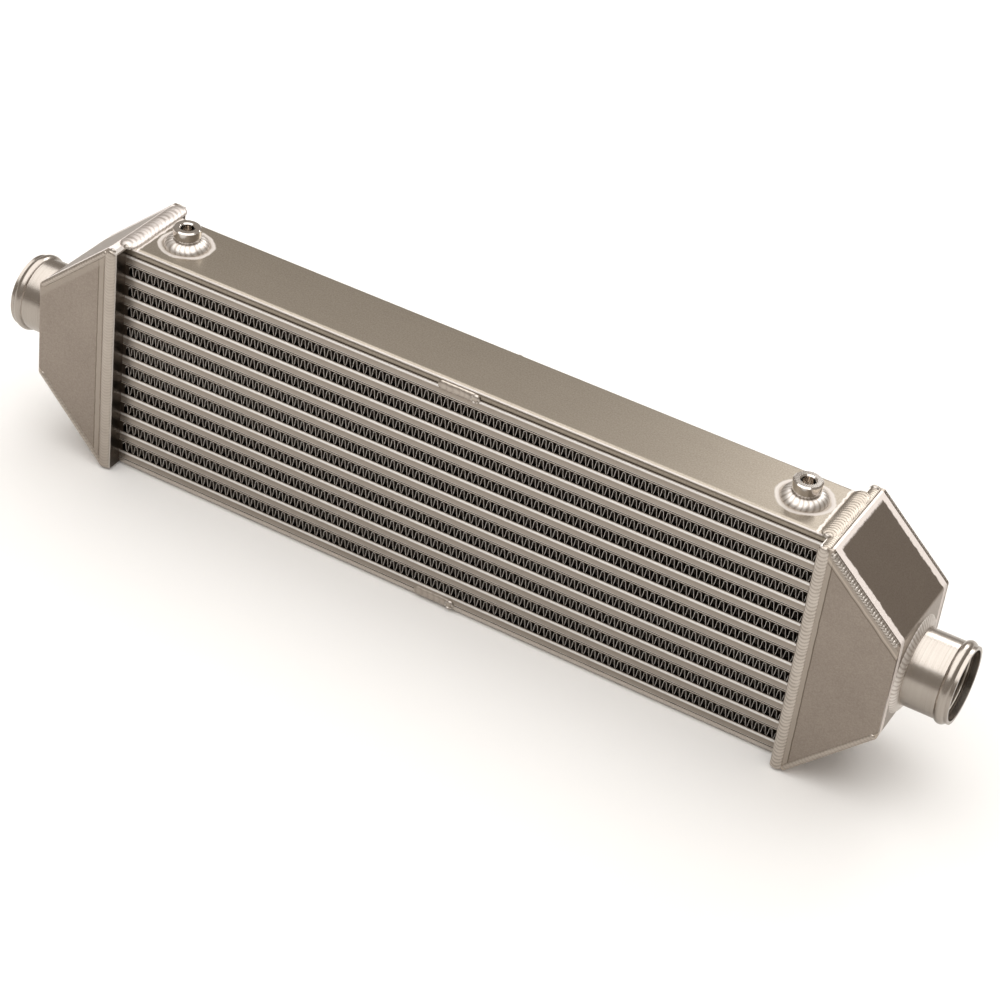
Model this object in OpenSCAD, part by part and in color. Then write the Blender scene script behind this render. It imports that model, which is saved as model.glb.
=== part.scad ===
// Bar-and-plate intercooler with two welded end tanks.
// X runs along the core, Y through its depth from front to rear, Z up.
// The origin is the middle of the face that the bottom side plate stands on.

/* [Core] */
// Length of the core between the two tank mouths
core_l = 564; // [300:1:800]
// Depth of the core, from the front bars' faces to the rear bars' faces
core_d = 63; // [45:1:120]
// Number of charge-air passages, one more than the rows of air fins
passages = 11; // [4:1:13]
// Height of one charge passage and of its bars
bar_h = 7.5; // [5:0.1:12]
// Depth of a bar that closes a charge passage
bar_d = 8; // [5:0.5:14]
// Bevel on the outer edges of the bars
bar_bevel = 0.7; // [0.3:0.1:1.5]
// Height of one row of air fins
fin_h = 8.7; // [6:0.1:14]
// Thickness of a parting sheet
sheet_t = 0.6; // [0.4:0.1:1.2]
// How far the parting sheets stand out beyond the bars' faces
sheet_lip = 0.3; // [0.1:0.1:1]
// Width of the bars that close the ends of the air rows
end_bar_w = 3; // [2:0.5:14]

/* [Side plates] */
// Thickness of the top and bottom side plates
plate_t = 5.5; // [4:0.5:10]
// Rounding along the outer long edges of the side plates
plate_round = 3.5; // [1:0.5:3.5]
// How far the side plates' edges lie behind the bars' faces
plate_setback = 0.6; // [0.2:0.1:1.5]

/* [Fins] */
// Length of one fold of the air fins
air_fold = 8.6; // [7:0.1:14]
// Thickness of the air fins' sheet
air_fin_t = 0.4; // [0.3:0.05:0.8]
// How far the air fins lie behind the bars' faces
air_fin_recess = 0.3; // [0.2:0.1:3]
// Length of one fold of the inner fins in the charge passages
charge_fold = 5.8; // [5:0.1:12]
// Thickness of the inner fins' sheet
charge_fin_t = 0.3; // [0.2:0.05:0.6]
// How far the inner fins end before the ends of the core
charge_fin_recess = 2; // [1:0.5:10]

/* [Tanks] */
// Length of a tank from the end of the core to the outer face of its end wall
tank_l = 68; // [50:1:120]
// How far a tank stands proud of the core, front and rear
tank_proud = 12; // [6:0.5:20]
// Thickness of the tank sheet
tank_t = 3; // [2:0.5:4]
// Thickness of the header frame behind the tank's mouth
frame_t = 4; // [3:0.5:8]
// How far the header frame laps over the ends of the bars and side plates
frame_lap = 6; // [4:0.5:8]
// Level stretch of the folded panel before its slopes begin, from the end of the core
land_l = 9.5; // [8.5:0.5:16]
// Height of a tank's flat end wall
end_wall_h = 80; // [70:1:110]
// Height of the end wall's middle above the bottom side plate's underside
end_wall_z = 102; // [90:1:105]
// Height of the tank mouth's lower edge above the bottom side plate's underside
mouth_lift = 2; // [2:0.5:5]
// Outer radius of the folds beside the end wall
fold_r = 4; // [4:0.5:12]

/* [Hose stubs] */
// Outer diameter of a hose stub
stub_d = 57; // [40:0.5:66]
// Wall thickness of a hose stub
stub_wall = 2.5; // [1.5:0.1:4]
// Length of a hose stub outside the end wall
stub_l = 38.5; // [30:0.5:90]
// How far a hose stub's axis lies below the end wall's middle
stub_drop = 3; // [0:0.5:3.5]
// Width of the rolled bead that holds the hose
rolled_bead_w = 7.5; // [6:0.5:10]
// Height of the rolled bead above the stub's surface
rolled_bead_h = 2; // [1:0.1:3]
// Straight rim beyond the rolled bead
stub_rim = 2.5; // [2:0.5:12]
// Gap round a stub in its hole through the end wall
stub_gap = 0.15; // [0.05:0.05:0.3]

/* [Bosses] */
// Outer diameter of a threaded boss's collar
boss_d = 21; // [18:0.5:30]
// Outer diameter of the boss's neck below the collar
boss_neck_d = 18; // [15:0.5:18.5]
// Height of the collar
boss_collar_h = 8; // [4:0.5:9]
// Height of a threaded boss above the side plate
boss_h = 15; // [14.5:0.5:30]
// Diameter of the tapped hole, at the crests of its thread
boss_hole_d = 10.2; // [6:0.1:12]
// Depth of the tapped hole below its countersink
boss_hole_deep = 12; // [6:0.5:13]
// Bevel round the boss's top edge and its hole
boss_bevel = 1; // [0.5:0.1:2]
// Distance of a boss from the end of the core
boss_inset = 31; // [30:0.5:80]

/* [Welds] */
// Width of the weld round a tank's mouth
mouth_weld_w = 6.5; // [5:0.5:7]
// Height of the weld round a tank's mouth
mouth_weld_h = 1.6; // [1:0.1:1.9]
// Width of the broad weld between the top side plate and a tank
top_weld_w = 12.5; // [9:0.5:13]
// Height of that broad weld
top_weld_h = 2.6; // [1.5:0.1:4]
// Radius of the weld along a tank's seams
seam_weld_r = 2.8; // [2.5:0.1:3.5]
// How deep that weld's centre lies behind the two faces that it joins
seam_weld_sink = 1.6; // [1.2:0.1:1.8]
// Bare stretch of seam before and after that weld
seam_weld_start = 0.5; // [0.5:0.5:8]
// Width of the ring weld round a hose stub
stub_weld_w = 6.5; // [4:0.5:9]
// Height of the ring weld up a hose stub
stub_weld_h = 3.5; // [2:0.5:5]
// Width of the ring weld round a boss
boss_weld_w = 7; // [5.5:0.5:8]
// Height of the ring weld up a boss
boss_weld_h = 5.5; // [2:0.5:5.5]
// Length of a tack weld at mid length
tack_l = 34; // [15:1:60]
// Width of a tack weld
tack_w = 5.5; // [4:0.5:8]
// Height of a tack weld above the bars' faces
tack_h = 1.6; // [1:0.1:2.5]

/* [Hidden] */
$fn = 48;
// A little more than any face needs, so that cuts pass right through
over = 1;
// Clearance that keeps fins just off what they are brazed to
braze_gap = 0.02;
// Facets along a fold of the tank sheet
fold_steps = 6;

fin_rows = passages - 1;
row_pitch = bar_h + fin_h + 2 * sheet_t;
core_h = passages * bar_h + fin_rows * fin_h + 2 * passages * sheet_t + 2 * plate_t;
core_end = core_l / 2;
core_face = core_d / 2;
tank_face = core_face + tank_proud;
panel_seam = tank_face - tank_t;
stub_r = stub_d / 2;
stub_z = end_wall_z - stub_drop;

// Lower side of charge passage i, counted from 1 at the top
function passage_z(i) = core_h - plate_t - sheet_t - bar_h - (i - 1) * row_pitch;
// Lower side of air row i, below charge passage i
function air_row_z(i) = passage_z(i) - sheet_t - fin_h;
function two_digits(i) = str(i < 10 ? "0" : "", i);
function numbered(name, count) = [for (i = [1:count]) str(name, two_digits(i))];

// Tank outline, seen from the front with the core at its left.
// u runs outwards from the end of the core.
mouth_top = core_h;
mouth_bottom = mouth_lift;
end_top = end_wall_z + end_wall_h / 2;
end_bottom = end_wall_z - end_wall_h / 2;
upper_slope = atan2(mouth_top - end_top, tank_l - land_l);
lower_slope = atan2(end_bottom - mouth_bottom, tank_l - land_l);
up = [0, 1];
outwards = [1, 0];
down = [0, -1];
upper_normal = [sin(upper_slope), cos(upper_slope)];
lower_normal = [sin(lower_slope), -cos(lower_slope)];

// Corner of two straight sides, moved inwards from both of them by d
function inner_corner(corner, normal_a, normal_b, d) =
    corner - d * (normal_a + normal_b) / (1 + normal_a * normal_b);
upper_fold = inner_corner([tank_l, end_top], upper_normal, outwards, fold_r);
lower_fold = inner_corner([tank_l, end_bottom], lower_normal, outwards, fold_r);

// Points along a fold, from one angle down to another
function fold_arc(centre, r, from, to) =
    [for (i = [0:fold_steps]) let (a = from + (to - from) * i / fold_steps) centre + r * [cos(a), sin(a)]];

// The tank's outline, drawn in by d from its outer faces
module tank_outline(d) {
    polygon(concat(
        [[frame_t, mouth_bottom + d], [frame_t, mouth_top - d]],
        [inner_corner([land_l, mouth_top], up, upper_normal, d)],
        fold_arc(upper_fold, fold_r - d, 90 - upper_slope, 0),
        fold_arc(lower_fold, fold_r - d, 0, lower_slope - 90),
        [inner_corner([land_l, mouth_bottom], down, lower_normal, d)]
    ));
}

// Places its children at the left or right tank: x = 0 at the end of the core, outwards positive
module at_tank(side) {
    if (side == "right_") translate([core_end, 0, 0]) children();
    else mirror([1, 0, 0]) translate([core_end, 0, 0]) children();
}

// Extrudes an outline drawn in XZ through y from y_low to y_high
module through_depth(y_low, y_high) {
    translate([0, y_high, 0]) rotate([90, 0, 0]) linear_extrude(y_high - y_low) children();
}

// Extrudes an outline drawn in YZ along x, centred on x = 0
module along_core(length) {
    translate([-length / 2, 0, 0]) rotate([90, 0, 90]) linear_extrude(length) children();
}

// Folded sheet as a zigzag outline, folds along the first axis, height along the second
module zigzag(length, height, fold, sheet) {
    folds = floor(length / fold);
    half_fold = length / folds / 2;
    // Vertical thickness of a sloping leg of the sheet
    leg = sheet * sqrt(1 + pow(height / half_fold, 2));
    swing = (height - leg) / 2;
    ridge = [for (i = [0:2 * folds]) [i * half_fold - length / 2, (i % 2 == 0 ? -1 : 1) * swing]];
    polygon(concat(
        [for (p = ridge) p + [0, leg / 2]],
        [for (i = [2 * folds:-1:0]) ridge[i] - [0, leg / 2]]
    ));
}

// Weld bead on the plane z = 0, along x, centred, with domed ends
module weld_bead(length, width, height) {
    r = (pow(width / 2, 2) + pow(height, 2)) / (2 * height);
    straight = length - width;
    intersection() {
        translate([0, 0, height - r]) capsule(straight, r);
        translate([-length, -width, 0]) cube([2 * length, 2 * width, height + over]);
    }
}

// Rod with ball ends along x, centred, where length is the distance between the balls' centres
module capsule(length, r) {
    rotate([0, 90, 0]) cylinder(h = length, r = r, center = true);
    for (end = [-1, 1]) translate([end * length / 2, 0, 0]) sphere(r);
}

// Rod with ball ends between two points
module rod(from, to, r) {
    d = to - from;
    translate((from + to) / 2)
        rotate([0, -atan2(d[2], norm([d[0], d[1]])), atan2(d[1], d[0])])
            capsule(norm(d), r);
}

// Convex ring weld in the corner between the plane z = 0 and a round of radius r along z
module ring_weld(r, width, height) {
    sink = (pow(width, 2) - pow(height, 2)) / (2 * height);
    rotate_extrude() intersection() {
        translate([r, -sink]) circle(sink + height);
        translate([r, 0]) square([width + over, height + over]);
    }
}

// Side plate with its rounded edges up, its underside at z = 0
module side_plate() {
    edge = core_face - plate_setback;
    along_core(core_l) {
        polygon([
            [-edge, 0], [edge, 0], [edge, plate_t - plate_round], [edge - plate_round, plate_t],
            [plate_round - edge, plate_t], [-edge, plate_t - plate_round]
        ]);
        for (y = [plate_round - edge, edge - plate_round])
            translate([y, plate_t - plate_round]) intersection() {
                circle(plate_round);
                translate([y < 0 ? -plate_round : 0, 0]) square(plate_round);
            }
    }
}

module top_plate() {
    color("#9a8f82") translate([0, 0, core_h - plate_t]) side_plate();
}

module bottom_plate() {
    color("#9a8f82") translate([0, 0, plate_t]) mirror([0, 0, 1]) side_plate();
}

// Bar of the front face, with its outer edges bevelled
module front_bar(i) {
    color("#a89c90") translate([0, -core_face, passage_z(i)]) along_core(core_l) polygon([
        [bar_d, 0], [bar_d, bar_h], [bar_bevel, bar_h], [0, bar_h - bar_bevel],
        [0, bar_bevel], [bar_bevel, 0]
    ]);
}

module rear_bar(i) {
    mirror([0, 1, 0]) front_bar(i);
}

module air_fin(i) {
    depth = core_face - air_fin_recess;
    color("#6b645c") translate([0, 0, air_row_z(i) + fin_h / 2]) through_depth(-depth, depth)
        zigzag(core_l - 2 * end_bar_w - 2 * braze_gap, fin_h - 2 * braze_gap, air_fold, air_fin_t);
}

module parting_sheet(z) {
    depth = core_face + sheet_lip;
    translate([-core_end, -depth, z]) cube([core_l, 2 * depth, sheet_t]);
}

module parting_sheets() {
    color("#d8d2c8") for (i = [1:passages]) {
        parting_sheet(passage_z(i) + bar_h);
        parting_sheet(passage_z(i) - sheet_t);
    }
}

module end_bars(side) {
    color("#a89c90") at_tank(side) for (i = [1:fin_rows])
        translate([-end_bar_w, -core_face, air_row_z(i)]) cube([end_bar_w, core_d, fin_h]);
}

module charge_fins() {
    width = core_d - 2 * bar_d - 2 * braze_gap;
    color("#8a8178") for (i = [1:passages])
        translate([0, 0, passage_z(i) + bar_h / 2]) along_core(core_l - 2 * charge_fin_recess)
            zigzag(width, bar_h - 2 * braze_gap, charge_fold, charge_fin_t);
}

module header_frame(side) {
    window_y = core_face - frame_lap;
    color("#8f8478") at_tank(side) difference() {
        translate([0, -tank_face, mouth_bottom]) cube([frame_t, 2 * tank_face, mouth_top - mouth_bottom]);
        translate([-over, -window_y, frame_lap])
            cube([frame_t + 2 * over, 2 * window_y, core_h - 2 * frame_lap]);
    }
}

module front_panel(side) {
    color("#958a7e") at_tank(side) through_depth(-tank_face, -panel_seam) tank_outline(0);
}

module rear_panel(side) {
    mirror([0, 1, 0]) front_panel(side);
}

module folded_panel(side) {
    color("#857a6e") at_tank(side) difference() {
        through_depth(-panel_seam, panel_seam) tank_outline(0);
        // The inside, open towards the header frame
        through_depth(-panel_seam - over, panel_seam + over) {
            tank_outline(tank_t);
            translate([frame_t - over, mouth_bottom + tank_t])
                square([2 * over, mouth_top - mouth_bottom - 2 * tank_t]);
        }
        translate([tank_l - 2 * tank_t, 0, stub_z]) rotate([0, 90, 0])
            cylinder(h = 3 * tank_t, r = stub_r + stub_gap);
    }
}

module hose_stub(side) {
    tube_l = stub_l + tank_t;
    bead_r = (pow(rolled_bead_w / 2, 2) + pow(rolled_bead_h, 2)) / (2 * rolled_bead_h);
    bead_at = [stub_r + rolled_bead_h - bead_r, tube_l - stub_rim - rolled_bead_w / 2];
    color("#d9d6d0") at_tank(side) translate([tank_l - tank_t, 0, stub_z]) rotate([0, 90, 0])
        rotate_extrude() difference() {
            union() {
                translate([stub_r - stub_wall, 0]) square([stub_wall, tube_l]);
                intersection() {
                    translate(bead_at) circle(bead_r);
                    translate([stub_r - stub_wall, 0]) square([stub_wall + bead_r, tube_l]);
                }
            }
            translate(bead_at) circle(bead_r - stub_wall);
        }
}

// Threaded boss, a bevelled collar on a narrower neck
module boss(side) {
    neck_r = boss_neck_d / 2;
    collar_r = boss_d / 2;
    collar_z = boss_h - boss_collar_h;
    hole_r = boss_hole_d / 2;
    hole_bottom = boss_h - boss_bevel - boss_hole_deep;
    color("#cfccc6") at_tank(side) translate([-boss_inset, 0, core_h]) rotate_extrude() polygon([
        [0, 0], [neck_r, 0], [neck_r, collar_z], [collar_r - boss_bevel, collar_z],
        [collar_r, collar_z + boss_bevel], [collar_r, boss_h - boss_bevel],
        [collar_r - boss_bevel, boss_h], [hole_r + boss_bevel, boss_h],
        [hole_r, boss_h - boss_bevel], [hole_r, hole_bottom], [0, hole_bottom]
    ]);
}

// Weld all round a tank's mouth, over the joint of frame and panels, with the broad weld on top
module core_weld(side) {
    r = (pow(mouth_weld_w / 2, 2) + pow(mouth_weld_h, 2)) / (2 * mouth_weld_h);
    sink = r - mouth_weld_h;
    y = tank_face - sink;
    low = mouth_bottom + sink;
    high = mouth_top - sink;
    color("#e4dfd6") at_tank(side) {
        translate([frame_t, 0, 0]) difference() {
            union() {
                for (z = [low, high]) rod([0, -y, z], [0, y, z], r);
                for (end = [-y, y]) rod([0, end, low], [0, end, high], r);
            }
            translate([-2 * r, -tank_face, mouth_bottom])
                cube([4 * r, 2 * tank_face, mouth_top - mouth_bottom]);
        }
        translate([0, 0, core_h]) rotate(90)
            weld_bead(2 * (core_face - plate_setback - plate_round), top_weld_w, top_weld_h);
    }
}

// Welds along the front and rear seams of a tank's slopes
module seam_welds(side) {
    upper_run = norm(upper_fold + fold_r * upper_normal - [land_l, mouth_top]);
    lower_run = norm(lower_fold + fold_r * lower_normal - [land_l, mouth_bottom]);
    color("#e4dfd6") at_tank(side) for (face = [0, 1]) mirror([0, face, 0]) {
        translate([land_l, -tank_face, mouth_top])
            rotate([0, upper_slope, 0]) corner_weld(upper_run);
        translate([land_l, -tank_face, mouth_bottom]) mirror([0, 0, 1])
            rotate([0, lower_slope, 0]) corner_weld(lower_run);
    }
}

// Weld round the corner of a plate whose front face is y = 0 and whose top is z = 0, along x
module corner_weld(length) {
    r = seam_weld_r;
    difference() {
        translate([length / 2, seam_weld_sink, -seam_weld_sink])
            capsule(length - 2 * (r + seam_weld_start), r);
        translate([0, 0, -3 * r]) cube([length, 3 * r, 3 * r]);
    }
}

module stub_weld(side) {
    color("#e4dfd6") at_tank(side) translate([tank_l, 0, stub_z]) rotate([0, 90, 0])
        ring_weld(stub_r, stub_weld_w, stub_weld_h);
}

module boss_weld(side) {
    color("#e4dfd6") at_tank(side) translate([-boss_inset, 0, core_h])
        ring_weld(boss_neck_d / 2, boss_weld_w, boss_weld_h);
}

// Tack welds that hold the side plates to the outermost bars, front and rear
module centre_tacks() {
    joints = [passage_z(1) + bar_h + sheet_t / 2, passage_z(passages) - sheet_t / 2];
    color("#e4dfd6") for (turn = [0, 180], z = joints) rotate(turn) difference() {
        translate([0, plate_setback - core_face, z]) rotate([90, 0, 0])
            weld_bead(tack_l, tack_w, tack_h + plate_setback);
        top_plate();
        bottom_plate();
        front_bar(1);
        front_bar(passages);
        parting_sheets();
    }
}

top_plate();
bottom_plate();
for (i = [1:passages]) {
    front_bar(i);
    rear_bar(i);
}
for (i = [1:fin_rows])
    air_fin(i);
parting_sheets();
charge_fins();
centre_tacks();
for (side = ["left_", "right_"]) {
    end_bars(side);
    header_frame(side);
    front_panel(side);
    rear_panel(side);
    folded_panel(side);
    hose_stub(side);
    boss(side);
    core_weld(side);
    seam_welds(side);
    stub_weld(side);
    boss_weld(side);
}
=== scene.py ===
# Looks of a bar-and-plate intercooler: folded fins, rippled welds and bare aluminium
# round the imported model, lit as on a white studio table. Sizes are in millimetres.
import itertools
import math
import bmesh
import bpy
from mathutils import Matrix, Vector


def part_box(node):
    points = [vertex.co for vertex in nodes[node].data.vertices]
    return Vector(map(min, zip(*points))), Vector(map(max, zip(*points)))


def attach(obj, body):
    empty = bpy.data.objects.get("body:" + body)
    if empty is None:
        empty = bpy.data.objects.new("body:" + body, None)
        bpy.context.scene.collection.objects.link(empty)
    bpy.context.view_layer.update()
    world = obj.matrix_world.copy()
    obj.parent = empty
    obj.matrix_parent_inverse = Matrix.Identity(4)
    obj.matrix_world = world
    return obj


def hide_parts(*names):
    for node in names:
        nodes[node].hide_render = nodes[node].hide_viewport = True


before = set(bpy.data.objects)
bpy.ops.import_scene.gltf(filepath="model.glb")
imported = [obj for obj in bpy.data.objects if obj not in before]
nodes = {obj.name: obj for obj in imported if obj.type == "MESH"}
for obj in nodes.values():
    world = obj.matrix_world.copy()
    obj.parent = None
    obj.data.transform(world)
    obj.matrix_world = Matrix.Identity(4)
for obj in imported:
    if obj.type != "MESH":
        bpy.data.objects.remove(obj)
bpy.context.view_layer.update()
scene = bpy.context.scene
toMetres = 0.001
mathKind = "ShaderNodeMath"
vectorKind = "ShaderNodeVectorMath"
noiseKind = "ShaderNodeTexNoise"


# Turns an sRGB hex colour into the linear colour that nodes want
def toLinear(hexColour):
    channels = [int(hexColour[i:i + 2], 16) / 255 for i in (1, 3, 5)]
    return [c / 12.92 if c <= 0.04045 else ((c + 0.055) / 1.055) ** 2.4 for c in channels] + [1.0]


# Adds a node, gives it its settings, then fills or links its inputs
def addNode(tree, kind, inputs=None, **settings):
    node = tree.nodes.new(kind)
    for name, value in settings.items():
        setattr(node, name, value)
    for name, value in (inputs or {}).items():
        if isinstance(value, bpy.types.Node):
            value = value.outputs[0]
        if isinstance(value, bpy.types.NodeSocket):
            tree.links.new(value, node.inputs[name])
        else:
            node.inputs[name].default_value = value
    return node


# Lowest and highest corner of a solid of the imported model
def boxOf(name):
    low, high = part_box(name)
    return low / toMetres, high / toMetres


plateHigh = boxOf("top_plate")[1]
panelLow, panelHigh = boxOf("right_front_panel")
stubLow, stubHigh = boxOf("right_hose_stub")
bossLow, bossHigh = boxOf("right_boss")
topBarLow, topBarHigh = boxOf("front_bar_01")
barLow, barHigh = boxOf("front_bar_11")
rowPitch = boxOf("air_fin_01")[0].z - boxOf("air_fin_02")[0].z
coreEnd = plateHigh.x
coreTop = plateHigh.z
coreFace = -topBarLow.y
tankFace = -panelLow.y
tankEnd = panelHigh.x
mouthBottom = panelLow.z
stubHeight = (stubLow.z + stubHigh.z) / 2
bossPlace = Vector(((bossLow.x + bossHigh.x) / 2, 0, coreTop))

tankShape = {"land": 9.5, "wallHeight": 80, "wallMiddle": 102, "stubRadius": 28.5}
landEnd = coreEnd + tankShape["land"]
wallTop = tankShape["wallMiddle"] + tankShape["wallHeight"] / 2
wallBottom = tankShape["wallMiddle"] - tankShape["wallHeight"] / 2
slopeRun = tankEnd - landEnd
upperAngle = math.atan2(coreTop - wallTop, slopeRun)
lowerAngle = math.atan2(wallBottom - mouthBottom, slopeRun)
upperNormal = Vector((math.sin(upperAngle), 0, math.cos(upperAngle)))
lowerNormal = Vector((math.sin(lowerAngle), 0, -math.cos(lowerAngle)))


# Materials. Positions reach the textures in millimetres of the part's own frame.
# A band is a zone along a weld that was brushed clean, then frosted and etched by its heat, or a strip of
# painted highlight and painted shade along an edge or up the bars.
# Its stops say, at so many millimetres from the reference, which colour covers how much.

# How high a point lies over the ground, or within one pitch of the rows
def heightOf(tree, mirrored, inRow):
    height = addNode(tree, "ShaderNodeSeparateXYZ", {0: mirrored}).outputs["Z"]
    return addNode(tree, mathKind, {0: height, 1: rowPitch}, operation="MODULO") if inRow else height


# How far a point lies from the place that a band starts at
def distanceTo(tree, mirrored, band):
    if band["kind"] == "ring":
        centred = addNode(tree, vectorKind, {0: mirrored, 1: band["centre"]}, operation="SUBTRACT")
        flat = addNode(tree, vectorKind, {0: centred, 1: band["across"]}, operation="MULTIPLY")
        return addNode(tree, vectorKind, {0: flat}, operation="LENGTH").outputs["Value"]
    if band["kind"] == "rows":
        return heightOf(tree, mirrored, True)
    along = addNode(tree, vectorKind, {0: mirrored, 1: band["normal"]}, operation="DOT_PRODUCT")
    reach = Vector(band["normal"]).dot(Vector(band["point"]))
    return addNode(tree, mathKind, {0: reach, 1: along.outputs["Value"]}, operation="SUBTRACT")


# Lays one band over a colour and a roughness
def addBand(tree, place, mirrored, colour, rough, band):
    wobble = addNode(tree, noiseKind, {"Vector": place, "Scale": 1 / band["wobbleSize"], "Detail": 2.0})
    distance = distanceTo(tree, mirrored, band)
    shifted = addNode(tree, mathKind, {0: wobble, 1: band["wobble"], 2: distance},
                      operation="MULTIPLY_ADD")
    stops = band["stops"]
    first, last = stops[0][0], stops[-1][0]
    share = addNode(tree, "ShaderNodeMapRange", {0: shifted, 1: first + band["wobble"] / 2,
                                                 2: last + band["wobble"] / 2})
    ramp = addNode(tree, "ShaderNodeValToRGB", {0: share})
    elements = ramp.color_ramp.elements
    for i, (distanceInMm, hexColour, cover) in enumerate(stops):
        at = (distanceInMm - first) / (last - first)
        if i in (0, len(stops) - 1):
            element = elements[0 if i == 0 else -1]
            element.position = at
        else:
            element = elements.new(at)
        element.color = toLinear(hexColour)[:3] + [cover]
    cover = ramp.outputs["Alpha"]
    for limit, inRow in (("above", False), ("aboveInRow", True)):
        if limit in band:
            height = heightOf(tree, mirrored, inRow)
            inside = addNode(tree, mathKind, {0: height, 1: band[limit]}, operation="GREATER_THAN")
            cover = addNode(tree, mathKind, {0: cover, 1: inside}, operation="MULTIPLY")
    colour = addNode(tree, "ShaderNodeMix", {0: cover, 6: colour, 7: ramp.outputs["Color"]},
                     data_type="RGBA").outputs[2]
    rough = addNode(tree, "ShaderNodeMix", {0: cover, 2: rough, 3: band["rough"]}).outputs[0]
    return colour, rough


def startMaterial(name):
    material = bpy.data.materials.new(name)
    material.use_nodes = True
    material.node_tree.nodes.clear()
    return material, material.node_tree


# The place of a point in millimetres
def findPlace(tree):
    coordinates = addNode(tree, "ShaderNodeTexCoord").outputs["Object"]
    return addNode(tree, vectorKind, {0: coordinates, "Scale": 1 / toMetres}, operation="SCALE")


# Bare metal over a grain that lifts the surface a few microns
def finishMetal(tree, colour, rough, grain, lift):
    bump = addNode(tree, "ShaderNodeBump", {"Height": grain, "Distance": lift * toMetres})
    surface = addNode(tree, "ShaderNodeBsdfPrincipled", {
        "Base Color": colour, "Metallic": 1.0, "Roughness": rough, "Normal": bump})
    addNode(tree, "ShaderNodeOutputMaterial", {"Surface": surface})


def makeAluminium(name, look, bands=()):
    material, tree = startMaterial(name)
    place = findPlace(tree)
    mirrored = addNode(tree, vectorKind, {0: place}, operation="ABSOLUTE")
    grain = addNode(tree, noiseKind, {"Vector": place, "Scale": 1 / look["grainSize"], "Detail": 1.5})
    stretched = addNode(tree, vectorKind, {0: place, 1: look["rolling"]}, operation="MULTIPLY")
    streaks = addNode(tree, noiseKind, {"Vector": stretched, "Scale": 1.0, "Detail": 3.0})
    clouds = addNode(tree, noiseKind, {"Vector": place, "Scale": 1 / look["cloudSize"], "Detail": 2.0})
    tone = 0.5 - (look["grain"] + look["streak"] + look["cloud"]) / 2
    for texture, share in ((grain, "grain"), (streaks, "streak"), (clouds, "cloud")):
        tone = addNode(tree, mathKind, {0: texture, 1: look[share], 2: tone}, operation="MULTIPLY_ADD")
    colour = addNode(tree, "ShaderNodeMix", {0: tone, 6: toLinear(look["dark"]),
                                             7: toLinear(look["light"])}, data_type="RGBA").outputs[2]
    rough = addNode(tree, "ShaderNodeMapRange", {0: tone, 3: look["rough"] + 0.05,
                                                 4: look["rough"] - 0.05}).outputs[0]
    for band in bands:
        colour, rough = addBand(tree, place, mirrored, colour, rough, band)
    finishMetal(tree, colour, rough, grain, look["bump"])
    return material


# Gives a metal to every solid whose name begins and ends so
def dress(start, end, material):
    for name in nodes:
        if name.startswith(start) and name.endswith(end):
            slots = nodes[name].material_slots
            if not slots:
                nodes[name].data.materials.append(material)
            for slot in slots:
                slot.material = material


frost, lightFrost, toeShade = "#fcf6f2", "#bfb5aa", "#6f6458"
ragged = dict(rough=0.8, wobble=3.0, wobbleSize=4.0)
steady = dict(rough=0.45, wobble=1.0, wobbleSize=9.0)
upwards = (0, 0, 1)

# The plate's cleaned zones beside the top weld and round each boss end in an etched white line
topWeldBand = dict(
    ragged, kind="plane", normal=(1, 0, 0), point=(coreEnd - 6.6, 0, 0), above=coreTop - 1.5,
    stops=[(0, lightFrost, 0.3), (0.4, lightFrost, 0.3), (0.8, frost, 0.7), (2.0, frost, 0.7),
           (2.8, frost, 0)])
bossHalo = dict(
    ragged, kind="ring", centre=bossPlace, across=(1, 1, 0), above=coreTop - 1.5,
    wobble=3.4, wobbleSize=11.0,
    stops=[(15.6, "#d9d3cd", 0.6), (17.2, "#b5aaa0", 0.3), (18.6, "#e0dad5", 0.9), (20.4, "#e6e1dc", 0.9),
           (21.6, "#e0dad5", 0)])
# Painted highlight along the plate's rounded front edge, where its curve catches the light
plateEdgeHighlight = dict(
    steady, kind="plane", normal=(0, 1, 0), point=(0, coreFace, 0), above=coreTop - 1.6,
    wobble=0.3, stops=[(0, "#d6d0cc", 0.95), (1.7, "#d6d0cc", 0.95), (2.3, "#d6d0cc", 0)])

# Cold-rolled 5000-series plate, left as it came from the mill: satin, with a fine speckle
plateLook = dict(dark="#8f8679", light="#b8aea1", rough=0.33, grainSize=1.1, grain=1.1,
                 rolling=(0.02, 0.3, 0.3), streak=0.12, cloudSize=45.0, cloud=0.3, bump=0.006)
millPlate = makeAluminium("coldRolledPlateAluminium", plateLook, (plateEdgeHighlight, topWeldBand, bossHalo))
# The lower plate is cleaner, since it lay face down on the brazing jig
bottomStock = makeAluminium("bottomPlateAluminium", dict(plateLook, dark="#cbc3b9", light="#eee7df"))

# Extruded 6063 bar stock, furnace brazed: a little streaky along its length. Its foot is white, partly the
# clad sheet's braze and partly painted highlight over its contact shadow;
# higher up, a band of painted shade lies just under a painted highlight along its upper edge
barLook = dict(dark="#aa9f94", light="#d0c6bb", rough=0.36, grainSize=0.8, grain=0.4,
               rolling=(0.02, 0.9, 0.9), streak=0.5, cloudSize=30.0, cloud=0.3, bump=0.003)
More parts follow.
